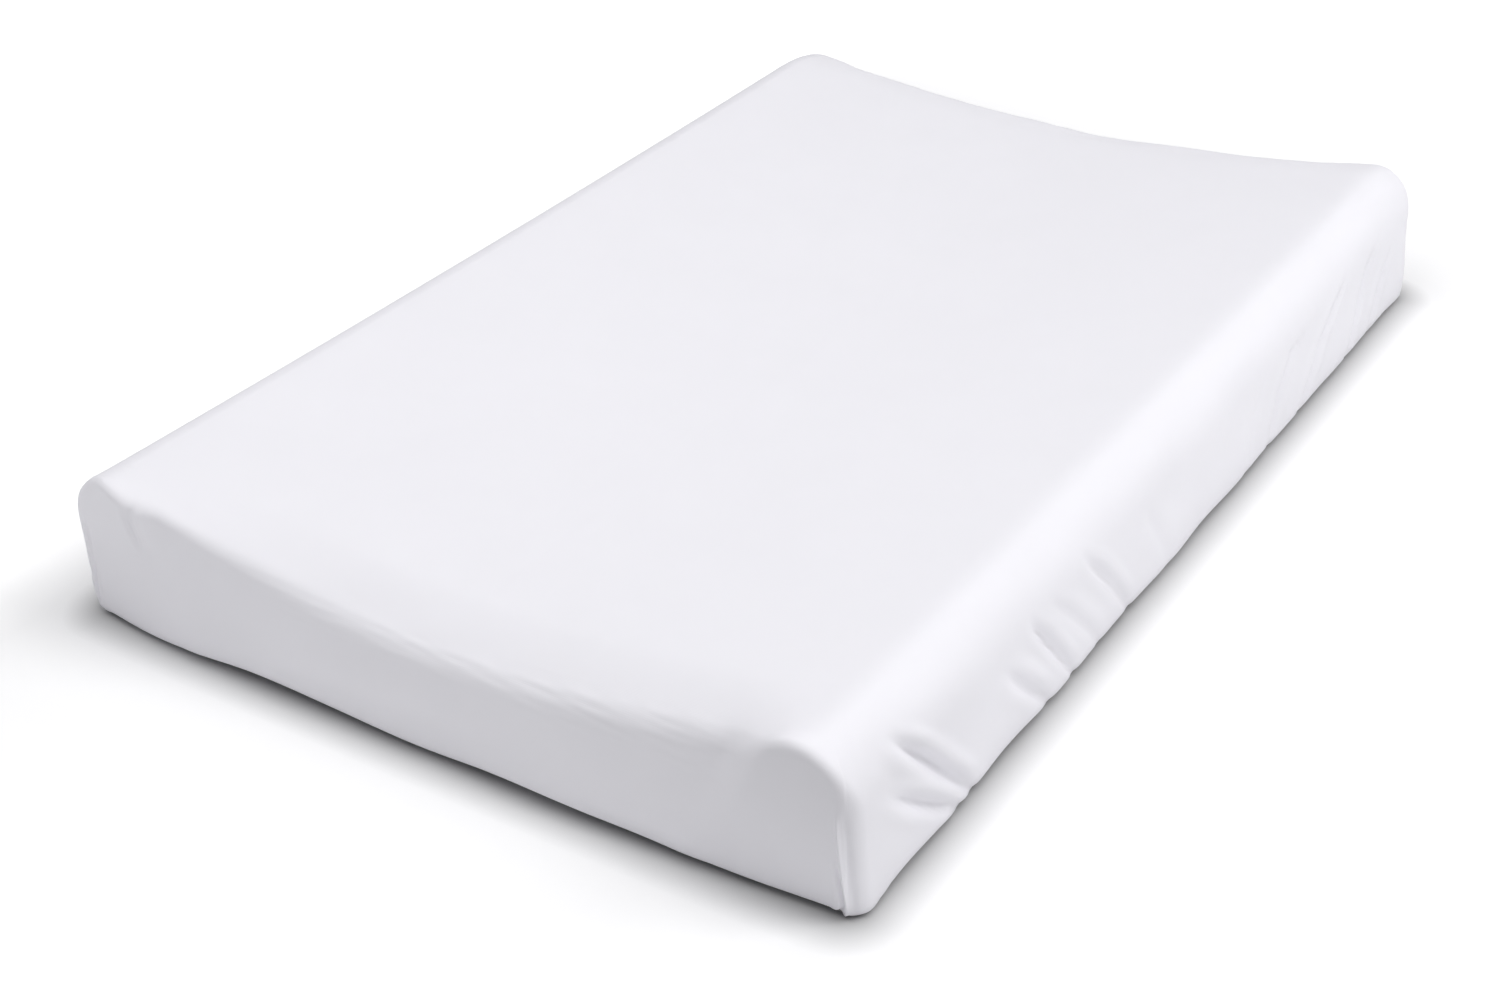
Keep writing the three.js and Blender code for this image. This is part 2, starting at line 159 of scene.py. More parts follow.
def project(p, depth, underside, steps=4):
    """Moves points on to the pad's face."""
    p = p.copy()
    for _ in range(steps):
        f = pad_field(p, depth, underside)
        grad = np.stack([
            (pad_field(p + PROBE * axis, depth, underside) - f) / PROBE for axis in np.eye(3)
        ], 1)
        p -= (f / np.maximum((grad**2).sum(1), 0.2))[:, None] * grad
    return p


def graded(half, cells):
    """An even number of cells from -half to half. `cells` gives the cell size at distances from the ends."""
    stations = [0.0]
    while stations[-1] < half:
        to_end = half - stations[-1]
        stations.append(stations[-1] + np.interp(to_end, [d for d, _ in cells], [c for _, c in cells]))
    one = np.array(stations) * half / stations[-1]
    return np.concatenate([-one[:0:-1], one])


def path_length(paths):
    """Length along each path at each of its points. paths: (columns, points, 3)."""
    steps = np.linalg.norm(np.diff(paths, axis=1), axis=2)
    return np.concatenate([np.zeros((len(paths), 1)), np.cumsum(steps, axis=1)], axis=1)


def resampled(paths, stations):
    """Points at given lengths along each path. stations: (columns, rows) in mm."""
    length = path_length(paths)
    out = np.empty((len(paths), stations.shape[1], 3))
    for k in range(len(paths)):
        for axis in range(3):
            out[k, :, axis] = np.interp(stations[k], length[k], paths[k, :, axis])
    return out


def round_corner(along, straight, radius):
    """A place on a side that turns into a corner: how far along the side, and how far in from it."""
    angle = max(along - straight, 0) / radius
    return min(along, straight) + radius * math.sin(angle), radius * (1 - math.cos(angle))


# Size of the mesh's cells by their distance from the corner.
END_CELLS = [(0, 0.65), (9, 0.65), (15, 1.6), (75, 2.4), (110, 4.5), (300, 5.5)]
SIDE_CELLS = [(0, 0.65), (9, 0.65), (15, 1.6), (40, 2.7), (400, 3.0)]


class Shell:
    """Columns of points all round the pad, from an inner line on the top, over the edge, down the wall,
    round the foot and in under the pad. Column 0 is the front left corner. They run round by the front."""

    def __init__(self, depth, underside, hem_half, hem_corner, coarse=1.0):
        self.depth, self.underside = depth, underside
        self.half_w, self.half_l = HALF_W - depth, HALF_L - depth
        eighth = CORNER_ROUND * math.pi / 4
        end_half = self.half_w - CORNER_ROUND + eighth
        side_half = self.half_l - END_BOW - CORNER_ROUND + eighth
        ends = graded(end_half, [(d, c * coarse) for d, c in END_CELLS])[:-1]
        sides = graded(side_half, [(d, c * coarse) for d, c in SIDE_CELLS])[:-1]
        self.nx, self.ny = len(ends), len(sides)
        # Signed distance along the outline to the nearest corner, positive on the long sides.
        self.to_corner = np.concatenate([np.abs(ends) - end_half, side_half - np.abs(sides)] * 2)
        self.along = np.concatenate([ends, sides] * 2)
        self.side = np.repeat([0, 1, 2, 3], [self.nx, self.ny, self.nx, self.ny])
        self.count = len(self.along)
        places = [
            self.places(along, side % 2 == 1, hem_half, hem_corner)
            for along, side in zip(self.along, self.side)
        ]
        paths = self.drawn_down(*(self.turned(line) for line in zip(*places)))
        for _ in range(2):
            paths = self.on_face(paths)
            paths = resampled(paths, np.linspace(0, 1, 220)[None, :] * path_length(paths)[:, -1:])
        self.paths = self.on_face(paths)

    def places(self, along, long_side, hem_half, hem_corner):
        """Where a column meets the outline, the inner line and the hem, as (a, b): a runs along its side
        and b outwards from the pad's middle."""
        half_w, half_l = self.half_w, self.half_l
        half, across = (half_l - END_BOW, half_w) if long_side else (half_w, half_l)
        straight = half - CORNER_ROUND
        a, in_a = round_corner(abs(along), straight, CORNER_ROUND)
        share = abs(along) / (straight + CORNER_ROUND * math.pi / 4)
        inner_w, inner_l = half_w - TOP_INSET_X, half_l - TOP_INSET_Y
        if long_side:
            b = across - in_a
            inner_a, inner_b = share * (inner_l - END_BOW * (inner_w / half_w) ** 2), inner_w
        else:
            b = across - END_BOW * (a / half_w) ** 2 - in_a
            inner_a = share * inner_w
            inner_b = inner_l - END_BOW * (inner_a / half_w) ** 2
        # The hem's line is a rounded rectangle too, reached in the same shares.
        hem_side, hem_across = hem_half[::-1] if long_side else hem_half
        hem_straight = hem_side - hem_corner
        hem_along = share * (hem_straight + hem_corner * math.pi / 4)
        hem_a, in_hem = round_corner(hem_along, hem_straight, hem_corner)
        sign = 1 if along >= 0 else -1
        return (sign * a, b), (sign * inner_a, inner_b), (sign * hem_a, hem_across - in_hem)

    def turned(self, line):
        """Turns (a, b) places on the four sides into x and y."""
        a, b = np.array(line).T
        x = np.choose(self.side, [a, b, -a, -b])
        y = np.choose(self.side, [-b, a, b, -a])
        return np.stack([x, y], 1)

    def drawn_down(self, outline, inner, hem):
        """Rough columns: over the edge, down the wall, round the foot and in to the hem."""
        def lifted(flat, height):
            return np.concatenate([flat, np.broadcast_to(height[..., None], flat.shape[:2] + (1,))], 2)

        drop = np.where(self.side % 2 == 1, SIDE_ROUND, EDGE_SOFT)[:, None]
        top = top_height(inner[:, 0], inner[:, 1])[:, None] - self.depth
        theta = np.linspace(0, math.pi / 2, 60)[None, :]
        over = inner[:, None] + (outline - inner)[:, None] * np.sin(theta)[..., None]
        over = lifted(over, top - drop * (1 - np.cos(theta)))
        share = np.linspace(0, 1, 51)[None, 1:]
        wall = np.repeat(outline[:, None], 50, 1)
        wall = lifted(wall, (top - drop) * (1 - share) + (self.underside + FOOT_TURN) * share)
        inward = (hem - outline) / np.linalg.norm(hem - outline, axis=1)[:, None]
        theta = np.linspace(0, math.pi / 2, 25)[None, 1:]
        foot = outline[:, None] + inward[:, None] * (FOOT_TURN * (1 - np.cos(theta)))[..., None]
        start = foot[:, -1]
        foot = lifted(foot, self.underside + FOOT_TURN * (1 - np.sin(theta)))
        share = np.linspace(0, 1, 31)[None, 1:]
        under = start[:, None] + (hem - start)[:, None] * share[..., None]
        under = lifted(under, np.full((1, 1), self.underside))
        return np.concatenate([over, wall, foot, under], 1)

    def on_face(self, points):
        return project(points.reshape(-1, 3), self.depth, self.underside).reshape(points.shape)

    def length_at(self, test):
        """Length along each column where `test`, which falls along it, first reaches zero."""
        length = path_length(self.paths)
        out = np.empty(self.count)
        for k in range(self.count):
            i = int(np.argmax(test[k] <= 0)) or test.shape[1] - 1
            before, after = test[k, i - 1], test[k, i]
            share = np.clip(before / max(before - after, 1e-9), 0, 1)
            out[k] = length[k, i - 1] + share * (length[k, i] - length[k, i - 1])
        return out

    def rows(self, marks, counts):
        """Resamples every column between marks (lengths along it) with so many rows in each stretch."""
        stations = [marks[0][:, None]]
        for before, after, count in zip(marks, marks[1:], counts):
            share = np.linspace(0, 1, count + 1)[None, 1:]
            stations.append(before[:, None] * (1 - share) + after[:, None] * share)
        stations = np.concatenate(stations, 1)
        return self.on_face(resampled(self.paths, stations)), stations

    def relax(self, points, height, rounds=24):
        """Evens out the cells where the columns fan over the shoulder at each corner."""
        for corner in np.cumsum([0, self.nx, self.ny, self.nx]):
            near = (np.arange(-46, 47) + corner) % self.count
            patch = points[near]
            weight = bell(self.to_corner[near], 34.0)[:, None] * smooth(52, 66, height[near])
            weight[[0, -1]] = 0
            weight[:, [0, -1]] = 0
            for _ in range(rounds):
                mean = patch.copy()
                columns = patch[:-2, 1:-1] + patch[2:, 1:-1]
                mean[1:-1, 1:-1] = (columns + patch[1:-1, :-2] + patch[1:-1, 2:]) / 4
                patch += (mean - patch) * (0.6 * weight)[..., None]
                patch = self.on_face(patch)
            points[near] = patch
        return points

    def top_grid(self, border):
        """Fills the top inside every second border point. Returns (nx/2+1, ny/2+1, 3) points."""
        nx, ny = self.nx, self.ny
        front = border[0:nx + 1:2]
        right = border[nx:nx + ny + 1:2]
        rear = border[nx + ny:2 * nx + ny + 1:2][::-1]
        left = np.concatenate([border[2 * nx + ny:], border[:1]])[::2][::-1]
        u = ((front[:, 0] - front[0, 0]) / (front[-1, 0] - front[0, 0]))[:, None, None]
        v = ((right[:, 1] - right[0, 1]) / (right[-1, 1] - right[0, 1]))[None, :, None]
        grid = (1 - v) * front[:, None] + v * rear[:, None] + (1 - u) * left[None] + u * right[None]
        grid -= (1 - u) * (1 - v) * front[0] + u * (1 - v) * front[-1]
        grid -= (1 - u) * v * rear[0] + u * v * rear[-1]
        grid[..., 2] = top_height(grid[..., 0], grid[..., 1]) - self.depth
        grid[1:-1, 1:-1] = self.on_face(grid[1:-1, 1:-1])
        return grid


def ring_index(shell, rows, first=0):
    """Quads of rows of columns, as vertex numbers row by row."""
    k = np.arange(shell.count)
    after = (k + 1) % shell.count
    quads = []
    for r in range(rows - 1):
        a, b = first + r * shell.count, first + (r + 1) * shell.count
        quads.append(np.stack([a + k, b + k, b + after, a + after], 1))
    return np.concatenate(quads)


def mesh_object(name, points, faces):
    """A mesh from millimetre points and faces, a list of (n, 3) and (n, 4) vertex number arrays."""
    me = bpy.data.meshes.new(name)
    me.vertices.add(len(points))
    me.vertices.foreach_set("co", (np.asarray(points) * MM).astype(np.float32).ravel())
    loops = np.concatenate([f.ravel() for f in faces]).astype(np.int32)
    totals = np.concatenate([np.full(len(f), f.shape[1]) for f in faces]).astype(np.int32)
    starts = np.concatenate([[0], np.cumsum(totals)[:-1]]).astype(np.int32)
    me.loops.add(len(loops))
    me.loops.foreach_set("vertex_index", loops)
    me.polygons.add(len(totals))
    me.polygons.foreach_set("loop_start", starts)
    me.polygons.foreach_set("loop_total", totals)
    me.update(calc_edges=True)
    me.validate()
    me.polygons.foreach_set("use_smooth", np.ones(len(totals), bool))
    ob = bpy.data.objects.new(name, me)
    bpy.context.scene.collection.objects.link(ob)
    return ob


def point_normals(points, faces):
    """Area-weighted normals."""
    normals = np.zeros_like(points)
    for f in faces:
        a, b, c = points[f[:, 0]], points[f[:, 1]], points[f[:, -1]]
        if f.shape[1] == 4:
            n = np.cross(points[f[:, 2]] - a, c - b)
        else:
            n = np.cross(b - a, c - a)
        for i in range(f.shape[1]):
            np.add.at(normals, f[:, i], n)
    return normals / np.maximum(np.linalg.norm(normals, axis=1), 1e-12)[:, None]


HEM_INSET, HEM_CORNER = 70.0, 60.0
SHEET_THICKNESS = 0.8

# Folds of the sheet, each as a line of (distance along the side, height) points from its head to its foot,
# then how deep and how wide it is.
RIGHT_FOLDS = [
    ([(-332, 86), (-323, 78), (-300, 54), (-280, 32), (-259, 8)], 3.4, 4.8),
    ([(-338, 60), (-328, 52), (-309, 35), (-289, 19), (-272, 7)], 3.0, 4.8),
    ([(-226, 58), (-217, 50), (-201, 33), (-177, 9)], 2.4, 5.2),
    ([(-198, 71), (-181, 51), (-161, 26), (-148, 9)], 2.4, 4.2),
    ([(-177, 71), (-152, 48), (-125, 20), (-114, 6)], 1.2, 4.4),
    ([(-139, 76), (-117, 54), (-96, 31), (-76, 6)], 2.0, 4.4),
    ([(-60, 62), (-40, 36), (-26, 8)], 0.7, 7.0),
    ([(110, 64), (96, 38), (88, 10)], 0.7, 7.0),
    ([(186, 71), (152, 60), (138, 40), (126, 10)], 2.2, 4.2),
    ([(247, 73), (225, 60), (200, 40), (176, 10)], 2.6, 4.4),
    ([(301, 75), (283, 63), (272, 38), (258, 12)], 2.7, 4.0),
    ([(331, 60), (314, 34), (299, 10)], 2.2, 3.8),
]


def fold_height(a, h, line, depth, width):
    """A fold pulled in along a line, with the cloth standing up either side of it."""
    line = np.array(line, float)[::-1]
    heights, places = line[:, 1], line[:, 0]
    at = np.interp(h, heights, places)
    slope = (places[1] - places[0]) / (heights[1] - heights[0])
    at = at + np.minimum(h - heights[0], 0) * slope
    lean = (places[-1] - places[0]) / (heights[-1] - heights[0])
    t = (a - at) / math.hypot(1, lean)
    head = heights[-1]
    rise = 1 - smooth(head - 20, head + 4, h)
    fade = smooth(-20, 2, h)
    spread = width * (0.75 + 0.35 * rise)
    # One flank is steeper than the other.
    skew = t + 0.45 * spread * bell(t - 0.5 * spread, 1.2 * spread)
    valley = -bell(skew, 0.85 * spread)
    banks = 0.62 * bell(t - 1.65 * spread, 0.9 * spread) + 0.36 * bell(t + 1.8 * spread, 1.2 * spread)
    return depth * rise * fade * (valley * (0.10 + 0.90 * smooth(0, 20, h)) + banks * smooth(4, 34, h) ** 2)


def waves(a, b, seed, count, shortest_a, longest_a, shortest_b, longest_b):
    """Smooth random swell, about -1 to 1."""
    rng = np.random.default_rng(seed)
    total = np.zeros_like(a)
    for _ in range(count):
        ka = 2 * math.pi / rng.uniform(shortest_a, longest_a) * rng.choice([-1, 1])
        kb = 2 * math.pi / rng.uniform(shortest_b, longest_b)
        total += np.sin(ka * a + kb * b + rng.uniform(0, 2 * math.pi))
    return total / math.sqrt(count / 2)


def sheet_relief(side, a, h, to_corner):
    """How far the sheet stands out from the plain pad."""
    out = np.zeros_like(a)
    wall = smooth(-14, 6, h) * (1 - smooth(80, 104, h))
    for which in (1, 3):
        mine = side == which
        at = a[mine] if which == 1 else -a[mine]
        fold = np.zeros(mine.sum())
        for n, (line, depth, width) in enumerate(RIGHT_FOLDS):
            if which == 3:
                line = [(0.80 * p + 14 + 9 * math.sin(2.3 * n), q) for p, q in line]
                depth = depth * (0.55 + 0.25 * math.sin(1.7 * n))
            fold += fold_height(at, h[mine], line, 1.45 * depth, 0.84 * width)
        out[mine] += fold
        out[mine] += 0.5 * wall[mine] * waves(at, h[mine], 11 + which, 8, 70, 190, 60, 160)
    for which in (0, 2):
        mine = side == which
        at, up = a[mine], h[mine]
        out[mine] += 0.45 * wall[mine] * waves(at, up, 21 + which, 8, 80, 200, 60, 140)
        # Fine creases along the edge, and the slack line low on the wall.
        edge = smooth(56, 66, up) * (1 - smooth(94, 112, up)) * smooth(-170, -60, at)
        edge = edge * (1 - smooth(170, 200, at))
        out[mine] += 0.085 * edge * waves(at, up, 31 + which, 16, 18, 90, 4, 9)
        out[mine] += -1.3 * bell(up - 20 - 0.02 * at, 7) * smooth(-150, -90, at) * (1 - smooth(-10, 60, at))
        out[mine] += 0.8 * bell(up - 33 - 0.03 * at, 9) * smooth(-160, -90, at) * (1 - smooth(0, 80, at))
        ear = [(-205, 104), (-201, 93), (-198, 84), (-195, 76), (-192, 68)]
        out[mine] += fold_height(at, up, ear, 1.6, 2.6) * smooth(66, 76, up)
    # Seam down each corner: the cloth is pinched into a ridge with a slit beside it.
    seam = -0.08 * h
    run = smooth(-1, 9, h) * (1 - smooth(60, 74, h))
    out += 1.15 * run * bell(to_corner - seam, 0.95)
    out += -1.5 * run * (1 - smooth(30, 46, h)) * bell(to_corner - seam + 2.6, 1.0)
    out += 0.55 * run * (1 - smooth(30, 46, h)) * bell(to_corner - seam + 5.2, 1.2)
    out += -0.7 * run * bell(to_corner - seam - 4.2, 2.4)
    return out


def bridge(coarse, fine):
    """Triangles between a coarse ring of vertex numbers and one with twice as many."""
    after = np.roll(coarse, -1)
    start, middle, end = fine[::2], fine[1::2], np.roll(fine[::2], -1)
    return np.concatenate([
        np.stack([coarse, start, middle], 1), np.stack([coarse, middle, after], 1),
        np.stack([after, middle, end], 1),
    ])


def skin(name, shell, marks, counts, thickness, relief=None):
    """A closed thin shell: the top, the wall and whatever comes after it, down to the last mark."""
    start = np.zeros(shell.count)
    floor = shell.length_at(shell.paths[:, :, 2] - (shell.underside + SKIM))
    fine, stations = shell.rows([start + 5.0, *marks], counts)
    height = floor[:, None] - stations
    fine = shell.relax(fine, height)
    grid = shell.top_grid(shell.on_face(resampled(shell.paths, start[:, None]))[:, 0])
    index = np.arange(grid.shape[0] * grid.shape[1]).reshape(grid.shape[:2])
    rows, offset = fine.shape[1], index.size
    points = np.concatenate([grid.reshape(-1, 3), fine.transpose(1, 0, 2).reshape(-1, 3)])
    top = np.stack([index[:-1, :-1], index[1:, :-1], index[1:, 1:], index[:-1, 1:]], -1).reshape(-1, 4)
    border = np.concatenate([index[:-1, 0], index[-1, :-1], index[:0:-1, -1], index[0, :0:-1]])
    faces = [top, bridge(border, offset + np.arange(shell.count)), ring_index(shell, rows, offset)]
    rise = np.zeros(len(points))
    if relief:
        side, along, to_corner = (np.tile(v, rows) for v in (shell.side, shell.along, shell.to_corner))
        rise[offset:] = relief(side, along, height.T.ravel(), to_corner)
    outer = points + point_normals(points, faces) * rise[:, None]
    outer[:, 2] = np.maximum(outer[:, 2], 0.15)
    inner = outer - point_normals(outer, faces) * thickness
    # Under the pad the cloth's thickness goes straight up.
    flat = (outer[:, 2] < shell.underside + 2.0) & (points[:, 2] < shell.underside + 0.5)
    inner[flat, 2] = outer[flat, 2] + thickness
    last = offset + (rows - 1) * shell.count + np.arange(shell.count)
    after = np.roll(last, -1)
    rim = np.stack([last, last + len(outer), after + len(outer), after], 1)
    flipped = [f[:, ::-1] + len(outer) for f in faces]
    return mesh_object(name, np.concatenate([outer, inner]), faces + flipped + [rim])


def panel(name, points, thickness, relief=None):
    """A closed thin panel from a grid of points: (columns, rows, 3), columns counted anticlockwise from above
    and rows downwards. relief takes the distance to the nearest edge."""
    cols, rows = points.shape[:2]
    index = np.arange(cols * rows).reshape(cols, rows)
    faces = np.stack([index[:-1, :-1], index[:-1, 1:], index[1:, 1:], index[1:, :-1]], -1).reshape(-1, 4)
    outer = points.reshape(-1, 3)
    if relief is not None:
        steps = np.linalg.norm(np.diff(points[:, rows // 2], axis=0), axis=1)
        u = np.concatenate([[0], np.cumsum(steps)])[:, None]
        v = path_length(points)
        to_edge = np.minimum(np.minimum(u, u[-1] - u), np.minimum(v, v[:, -1:] - v))
        outer = outer + point_normals(outer, [faces]) * relief(to_edge).reshape(-1, 1)
    inner = outer - point_normals(outer, [faces]) * thickness
    border = np.concatenate([index[:, 0], index[-1, 1:], index[-2::-1, -1], index[0, -2:0:-1]])
    after = np.roll(border, -1)
    rim = np.stack([border, border + len(outer), after + len(outer), after], 1)
    both = [faces, faces[:, ::-1] + len(outer), rim]
    return mesh_object(name, np.concatenate([outer, inner]), both)


def sheet_outer_relief(side, along, height, to_corner):
    out = sheet_relief(side, along, height, to_corner)
    # Ripples where the elastic gathers the cloth under the pad.
    under = smooth(4, 26, -height) * (1 - smooth(52, 60, -height))
    phase = 1.2 * waves(along, height, 5, 6, 90, 240, 50, 90)
    return out + under * 0.55 * np.sin(2 * math.pi * along / 15.5 + phase)


class Nodes:
    """Short-hand for a material's node tree."""

    def __init__(self, name):
        self.mat = bpy.data.materials.new(name)
        self.mat.use_nodes = True
        self.tree = self.mat.node_tree
        self.shader = self.tree.nodes["Principled BSDF"]
        here = self.tree.nodes.new("ShaderNodeTexCoord").outputs["Object"]
        self.place = here
        split = self.add("ShaderNodeSeparateXYZ", {0: here})
        self.x, self.y, self.z = split.outputs
        self.facing = None

    def add(self, kind, links=None, **settings):
        node = self.tree.nodes.new(kind)
        for key, value in settings.items():
            setattr(node, key, value)
        for key, value in (links or {}).items():
            self.put(value, node.inputs[key])
        return node

    def put(self, value, socket):
        if isinstance(value, bpy.types.NodeSocket):
            self.tree.links.new(value, socket)
        else:
            socket.default_value = value

    def math(self, operation, a, b=None, c=None):
        links = {0: a}
        if b is not None:
            links[1] = b
        if c is not None:
            links[2] = c
        return self.add("ShaderNodeMath", links, operation=operation).outputs[0]

    def noise(self, per_metre, detail=3.0, rough=0.55):
        links = {"Vector": self.place, "Scale": per_metre, "Detail": detail, "Roughness": rough}
        return self.add("ShaderNodeTexNoise", links).outputs["Fac"]

    def ramp(self, fac, low, high, out_low, out_high):
        links = {"Value": fac, "From Min": low, "From Max": high, "To Min": out_low, "To Max": out_high}
        return self.add("ShaderNodeMapRange", links).outputs["Result"]

    def shares(self):
        """How much the surface faces along x, y and z, adding up to about one."""
        if self.facing is None:
            normal = self.add("ShaderNodeNewGeometry").outputs["Normal"]
            parts = self.add("ShaderNodeSeparateXYZ", {0: normal}).outputs
            self.facing = [self.math("MULTIPLY", p, p) for p in parts]
        return self.facing

    def box(self, pattern):
        """Lays a flat pattern on whichever way the surface faces: pattern(along, across)."""
        over_x, over_y, over_z = self.shares()
        side = self.math("MULTIPLY", pattern(self.y, self.z), over_x)
        end = self.math("MULTIPLY_ADD", pattern(self.z, self.x), over_y, side)
        return self.math("MULTIPLY_ADD", pattern(self.y, self.x), over_z, end)

    def knit(self, wale, course):
        """Jersey: columns of V-shaped stitches, as far apart as `wale`, one stitch per `course`."""
        def pattern(along, across):
            column = self.math("PINGPONG", self.math("DIVIDE", across, wale / 2), 1.0)
            turn = self.math("MULTIPLY_ADD", column, 2.2, self.math("MULTIPLY", along, 2 * math.pi / course))
            loop = self.math("SINE", turn)
            off_centre = self.math("ABSOLUTE", self.math("MULTIPLY_ADD", column, 2.0, -1.0))
            groove = self.math("POWER", off_centre, 6.0)
            raised = self.math("MULTIPLY_ADD", loop, 0.28, 0.6)
            return self.math("SUBTRACT", raised, self.math("MULTIPLY", groove, 0.5))
        return self.box(pattern)

    def weave(self, pitch):
        """Plain weave: threads that pass over and under each other."""
        def pattern(along, across):
            a = self.math("SINE", self.math("MULTIPLY", along, math.pi / pitch))
            b = self.math("SINE", self.math("MULTIPLY", across, math.pi / pitch))
            over = self.math("MULTIPLY", a, b)
            round_a, round_b = self.math("MULTIPLY", a, a), self.math("MULTIPLY", b, b)
            threads = self.math("MULTIPLY", self.math("ADD", round_a, round_b), 0.25)
            return self.math("MULTIPLY_ADD", over, 0.35, threads)
        return self.box(pattern)

    def twill(self, pitch):
        """Twill or herringbone tape: slanting ribs that turn back on themselves."""
        def pattern(along, across):
            bend = self.math("PINGPONG", across, pitch * 4)
            slant = self.math("MULTIPLY", self.math("ADD", along, bend), 2 * math.pi / pitch)
            fine = self.math("SINE", self.math("MULTIPLY", across, 2 * math.pi / (0.7 * pitch)))
            ribs = self.math("SINE", slant)
            return self.math("MULTIPLY_ADD", ribs, 0.35, self.math("MULTIPLY", fine, 0.15))
        return self.box(pattern)

    def pits(self, per_metre):
        """Cut foam: open cells of several sizes."""
        links = {"Vector": self.place, "Scale": per_metre}
        cells = self.add("ShaderNodeTexVoronoi", links, feature="SMOOTH_F1").outputs["Distance"]
        mottle = self.noise(per_metre * 0.6, 4.0)
        return self.math("MULTIPLY_ADD", mottle, 0.7, self.math("MULTIPLY", cells, 0.8))

    def bump(self, height, distance):
        node = self.add("ShaderNodeBump", {"Height": height, "Distance": distance, "Strength": 1.0})
        self.tree.links.new(node.outputs["Normal"], self.shader.inputs["Normal"])

    def tint(self, fac, low, high, dark, light):
        """Base colour between `dark` and `light` as `fac` goes from low to high."""
        share = self.ramp(fac, low, high, 0.0, 1.0)
        mix = self.add("ShaderNodeMix", data_type="RGBA")
        self.put(share, mix.inputs[0])
        mix.inputs[6].default_value = (*dark, 1)
        mix.inputs[7].default_value = (*light, 1)
        self.tree.links.new(mix.outputs[2], self.shader.inputs["Base Color"])

    def roughness(self, fac, low, high, out_low, out_high):
        self.tree.links.new(self.ramp(fac, low, high, out_low, out_high), self.shader.inputs["Roughness"])

    def set(self, **sockets):
        for key, value in sockets.items():
            self.shader.inputs[key.replace("_", " ")].default_value = value
        return self.mat


def shade(colour, factor):
    return tuple(c * factor for c in colour)


def cloth(name, colour, structure, depth, shade_and_variation=0.985, patch=14.0, sheen=0.15, rough=(0.82, 0.95)):
    """Cloth: its weave or knit as bump, painted shade that darkens the cloth between the threads, and faint
    patches of tone.
    """
    n = Nodes(name)
    height = structure(n)
    patches = n.noise(patch, 3.0)
    fuzz = n.noise(2600.0, 2.0)
    # Painted shade: the colour darkens where the weave or knit dips between the threads, with random fuzz and
    # faint patches mixed in.
    tone = n.math("MULTIPLY_ADD", height, 0.16, n.math("MULTIPLY_ADD", fuzz, 0.2, patches))
    n.tint(tone, 0.35, 0.95, shade(colour, shade_and_variation), shade(colour, 2 - shade_and_variation))
    n.roughness(fuzz, 0.3, 0.7, *rough)
    n.bump(n.math("MULTIPLY_ADD", fuzz, 0.35, height), depth)
    return n.set(Sheen_Weight=sheen, Sheen_Roughness=0.4, Specular_IOR_Level=0.3)


# ---------------------------------------------------------------- materials
materials = {
    "jersey": cloth("jersey", (0.885, 0.878, 0.915), lambda n: n.knit(0.0009, 0.0007), 0.00005, 0.991,
                    sheen=0.06),
    "binding": cloth("binding", (0.86, 0.855, 0.888), lambda n: n.knit(0.0007, 0.0006), 0.00008, 0.97),
    "elastic": cloth("elastic", (0.83, 0.83, 0.835), lambda n: n.weave(0.0005), 0.00012, 0.96,
                     rough=(0.6, 0.8)),
    "label": cloth("label", (0.93, 0.93, 0.925), lambda n: n.weave(0.00022), 0.00003, 0.985,
                   rough=(0.42, 0.6)),
    "casing_cloth": cloth("casing_cloth", (0.80, 0.785, 0.75), lambda n: n.weave(0.00055), 0.00010, 0.96),
    "zip_tape": cloth("zip_tape", (0.77, 0.762, 0.74), lambda n: n.twill(0.0008), 0.00010, 0.96,
                      rough=(0.7, 0.88)),
}


def nylon():
    n = Nodes("zip_nylon")
    grain = n.noise(900.0, 4.0)
    n.tint(grain, 0.3, 0.7, (0.78, 0.78, 0.75), (0.88, 0.88, 0.86))
    n.roughness(grain, 0.3, 0.7, 0.28, 0.46)
    n.bump(n.noise(4000.0, 2.0), 0.00002)
    return n.set(Specular_IOR_Level=0.5, Coat_Weight=0.1)


def metal():
    n = Nodes("zip_metal")
    brushed = n.add("ShaderNodeTexNoise", {
        "Vector": n.add("ShaderNodeMapping", {"Vector": n.place, "Scale": (9.0, 0.6, 9.0)}).outputs[0],
        "Scale": 700.0, "Detail": 4.0,
    }).outputs["Fac"]
    worn = n.noise(260.0, 3.0)
    n.tint(worn, 0.35, 0.7, (0.50, 0.505, 0.52), (0.66, 0.665, 0.68))
    n.roughness(brushed, 0.3, 0.75, 0.22, 0.45)
    n.bump(brushed, 0.00002)
    return n.set(Metallic=1.0)


def foam(name, dark, light, cell_per_metre, depth):
    n = Nodes(name)
    pits = n.pits(cell_per_metre)
    # Painted shade: the colour darkens into the open cells where the foam is pitted, with random mottling
    # mixed in.
    mottle = n.math("MULTIPLY_ADD", n.noise(30.0, 3.0), 0.6, n.math("MULTIPLY", pits, 0.5))
    n.tint(mottle, 0.3, 0.85, dark, light)
    n.roughness(pits, 0.3, 1.0, 0.86, 1.0)
    n.bump(pits, depth)
    return n.set(Specular_IOR_Level=0.2, Sheen_Weight=0.1)


materials["zip_nylon"] = nylon()
materials["zip_metal"] = metal()
materials["firm_foam"] = foam("firm_foam", (0.70, 0.66, 0.55), (0.82, 0.785, 0.69), 900.0, 0.0005)
materials["memory_foam"] = foam("memory_foam", (0.84, 0.74, 0.48), (0.90, 0.82, 0.60), 1500.0, 0.0003)


def finish_piece(ob, slot, *nodes, body="pad"):
    if slot:
        ob.data.materials.clear()
        ob.data.materials.append(materials[slot])
    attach(ob, body)
    if nodes:
        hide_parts(*nodes)
    return ob


